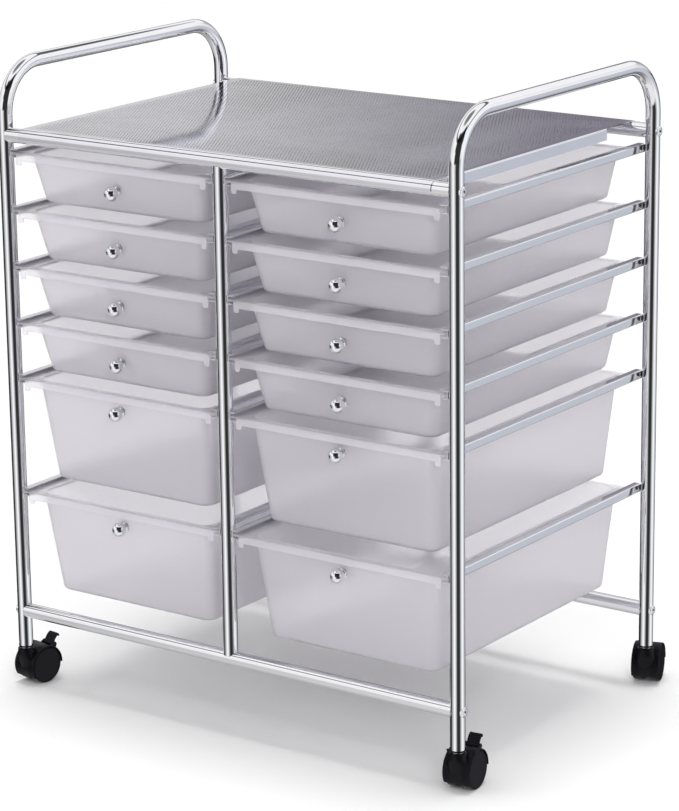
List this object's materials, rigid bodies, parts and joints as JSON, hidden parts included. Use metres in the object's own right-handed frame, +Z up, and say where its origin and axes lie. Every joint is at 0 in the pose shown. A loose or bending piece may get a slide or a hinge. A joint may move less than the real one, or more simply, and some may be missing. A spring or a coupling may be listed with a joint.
{
  "type": "rolling drawer cart",
  "caption": "Rolling office drawer cart: chromed tube frame, perforated top shelf with side handles, columns of frosted drawers on runners, twin-wheel casters.",
  "frame": {"origin": "on the floor, under the middle of the cart's outer box", "axes": "+Z up, -Y to the drawers' fronts, +X to the right as seen from the front"},
  "size_m": [0.6584, 0.47, 0.7621],
  "materials": {
    "chrome": "polished",
    "shelf_steel": "satin",
    "zinc": "satin",
    "frosted": "satin",
    "black_plastic": "satin"
  },
  "bodies": {
    "frame": {"left_side_frame": "chrome", "right_side_frame": "chrome", "front_top_rail": "chrome", "rear_top_rail": "chrome", "front_bottom_rail": "chrome", "rear_bottom_rail": "chrome", "front_centre_post": "chrome", "rear_centre_post": "chrome", "rail_nuts": "zinc", "frame_bolts": "chrome", "left_runners": "chrome", "centre_left_runners": "chrome", "centre_right_runners": "chrome", "right_runners": "chrome", "top_shelf": "shelf_steel", "leg_sockets": "black_plastic"},
    "left_drawer_1": {"left_drawer_1": "frosted", "left_knob_1": "chrome"},
    "left_drawer_2": {"left_drawer_2": "frosted", "left_knob_2": "chrome"},
    "left_drawer_3": {"left_drawer_3": "frosted", "left_knob_3": "chrome"},
    "left_drawer_4": {"left_drawer_4": "frosted", "left_knob_4": "chrome"},
    "left_drawer_5": {"left_drawer_5": "frosted", "left_knob_5": "chrome"},
    "left_drawer_6": {"left_drawer_6": "frosted", "left_knob_6": "chrome"},
    "right_drawer_1": {"right_drawer_1": "frosted", "right_knob_1": "chrome"},
    "right_drawer_2": {"right_drawer_2": "frosted", "right_knob_2": "chrome"},
    "right_drawer_3": {"right_drawer_3": "frosted", "right_knob_3": "chrome"},
    "right_drawer_4": {"right_drawer_4": "frosted", "right_knob_4": "chrome"},
    "right_drawer_5": {"right_drawer_5": "frosted", "right_knob_5": "chrome"},
    "right_drawer_6": {"right_drawer_6": "frosted", "right_knob_6": "chrome"},
    "front_left_caster": {"front_left_hood": "black_plastic", "front_left_pins": "zinc"},
    "front_left_wheel_left": {"front_left_wheel_left": "black_plastic"},
    "front_left_wheel_right": {"front_left_wheel_right": "black_plastic"},
    "front_left_brake_lever": {"front_left_brake_lever": "black_plastic"},
    "front_right_caster": {"front_right_hood": "black_plastic", "front_right_pins": "zinc"},
    "front_right_wheel_left": {"front_right_wheel_left": "black_plastic"},
    "front_right_wheel_right": {"front_right_wheel_right": "black_plastic"},
    "front_right_brake_lever": {"front_right_brake_lever": "black_plastic"},
    "rear_left_caster": {"rear_left_hood": "black_plastic", "rear_left_pins": "zinc"},
    "rear_left_wheel_left": {"rear_left_wheel_left": "black_plastic"},
    "rear_left_wheel_right": {"rear_left_wheel_right": "black_plastic"},
    "rear_right_caster": {"rear_right_hood": "black_plastic", "rear_right_pins": "zinc"},
    "rear_right_wheel_left": {"rear_right_wheel_left": "black_plastic"},
    "rear_right_wheel_right": {"rear_right_wheel_right": "black_plastic"}
  },
  "joints": [
    {"name": "left_drawer_1_slide", "type": "slide", "parent": "frame", "child": "left_drawer_1", "axis": [0, -1, 0], "range_m": [0, 0.28]},
    {"name": "left_drawer_2_slide", "type": "slide", "parent": "frame", "child": "left_drawer_2", "axis": [0, -1, 0], "range_m": [0, 0.28]},
    {"name": "left_drawer_3_slide", "type": "slide", "parent": "frame", "child": "left_drawer_3", "axis": [0, -1, 0], "range_m": [0, 0.28]},
    {"name": "left_drawer_4_slide", "type": "slide", "parent": "frame", "child": "left_drawer_4", "axis": [0, -1, 0], "range_m": [0, 0.28]},
    {"name": "left_drawer_5_slide", "type": "slide", "parent": "frame", "child": "left_drawer_5", "axis": [0, -1, 0], "range_m": [0, 0.28]},
    {"name": "left_drawer_6_slide", "type": "slide", "parent": "frame", "child": "left_drawer_6", "axis": [0, -1, 0], "range_m": [0, 0.28]},
    {"name": "right_drawer_1_slide", "type": "slide", "parent": "frame", "child": "right_drawer_1", "axis": [0, -1, 0], "range_m": [0, 0.28]},
    {"name": "right_drawer_2_slide", "type": "slide", "parent": "frame", "child": "right_drawer_2", "axis": [0, -1, 0], "range_m": [0, 0.28]},
    {"name": "right_drawer_3_slide", "type": "slide", "parent": "frame", "child": "right_drawer_3", "axis": [0, -1, 0], "range_m": [0, 0.28]},
    {"name": "right_drawer_4_slide", "type": "slide", "parent": "frame", "child": "right_drawer_4", "axis": [0, -1, 0], "range_m": [0, 0.28]},
    {"name": "right_drawer_5_slide", "type": "slide", "parent": "frame", "child": "right_drawer_5", "axis": [0, -1, 0], "range_m": [0, 0.28]},
    {"name": "right_drawer_6_slide", "type": "slide", "parent": "frame", "child": "right_drawer_6", "axis": [0, -1, 0], "range_m": [0, 0.28]},
    {"name": "front_left_swivel", "type": "hinge", "parent": "frame", "child": "front_left_caster", "pos_m": [-0.3115, -0.22088, 0.0466], "axis": [0, 0, 1], "continuous": true},
    {"name": "front_left_wheel_left_spin", "type": "hinge", "parent": "front_left_caster", "child": "front_left_wheel_left", "pos_m": [-0.30893, -0.20256, 0.022], "axis": [0.9903, -0.1392, 0], "continuous": true},
    {"name": "front_left_wheel_right_spin", "type": "hinge", "parent": "front_left_caster", "child": "front_left_wheel_right", "pos_m": [-0.30893, -0.20256, 0.022], "axis": [0.9903, -0.1392, 0], "continuous": true},
    {"name": "front_left_brake_lever_tilt", "type": "hinge", "parent": "front_left_caster", "child": "front_left_brake_lever", "pos_m": [-0.30638, -0.18447, 0.04229], "axis": [-0.9903, 0.1392, 0], "range_deg": [0, 32]},
    {"name": "front_right_swivel", "type": "hinge", "parent": "frame", "child": "front_right_caster", "pos_m": [0.3115, -0.22088, 0.0466], "axis": [0, 0, 1], "continuous": true},
    {"name": "front_right_wheel_left_spin", "type": "hinge", "parent": "front_right_caster", "child": "front_right_wheel_left", "pos_m": [0.30957, -0.20248, 0.022], "axis": [0.9945, 0.1045, 0], "continuous": true},
    {"name": "front_right_wheel_right_spin", "type": "hinge", "parent": "front_right_caster", "child": "front_right_wheel_right", "pos_m": [0.30957, -0.20248, 0.022], "axis": [0.9945, 0.1045, 0], "continuous": true},
    {"name": "front_right_brake_lever_tilt", "type": "hinge", "parent": "front_right_caster", "child": "front_right_brake_lever", "pos_m": [0.30766, -0.18432, 0.04229], "axis": [-0.9945, -0.1045, 0], "range_deg": [0, 32]},
    {"name": "rear_left_swivel", "type": "hinge", "parent": "frame", "child": "rear_left_caster", "pos_m": [-0.3115, 0.18912, 0.0466], "axis": [0, 0, 1], "continuous": true},
    {"name": "rear_left_wheel_left_spin", "type": "hinge", "parent": "rear_left_caster", "child": "rear_left_wheel_left", "pos_m": [-0.30702, 0.20707, 0.022], "axis": [0.9703, -0.2419, 0], "continuous": true},
    {"name": "rear_left_wheel_right_spin", "type": "hinge", "parent": "rear_left_caster", "child": "rear_left_wheel_right", "pos_m": [-0.30702, 0.20707, 0.022], "axis": [0.9703, -0.2419, 0], "continuous": true},
    {"name": "rear_right_swivel", "type": "hinge", "parent": "frame", "child": "rear_right_caster", "pos_m": [0.3115, 0.18912, 0.0466], "axis": [0, 0, 1], "continuous": true},
    {"name": "rear_right_wheel_left_spin", "type": "hinge", "parent": "rear_right_caster", "child": "rear_right_wheel_left", "pos_m": [0.30548, 0.20661, 0.022], "axis": [0.9455, 0.3256, 0], "continuous": true},
    {"name": "rear_right_wheel_right_spin", "type": "hinge", "parent": "rear_right_caster", "child": "rear_right_wheel_right", "pos_m": [0.30548, 0.20661, 0.022], "axis": [0.9455, 0.3256, 0], "continuous": true}
  ]
}
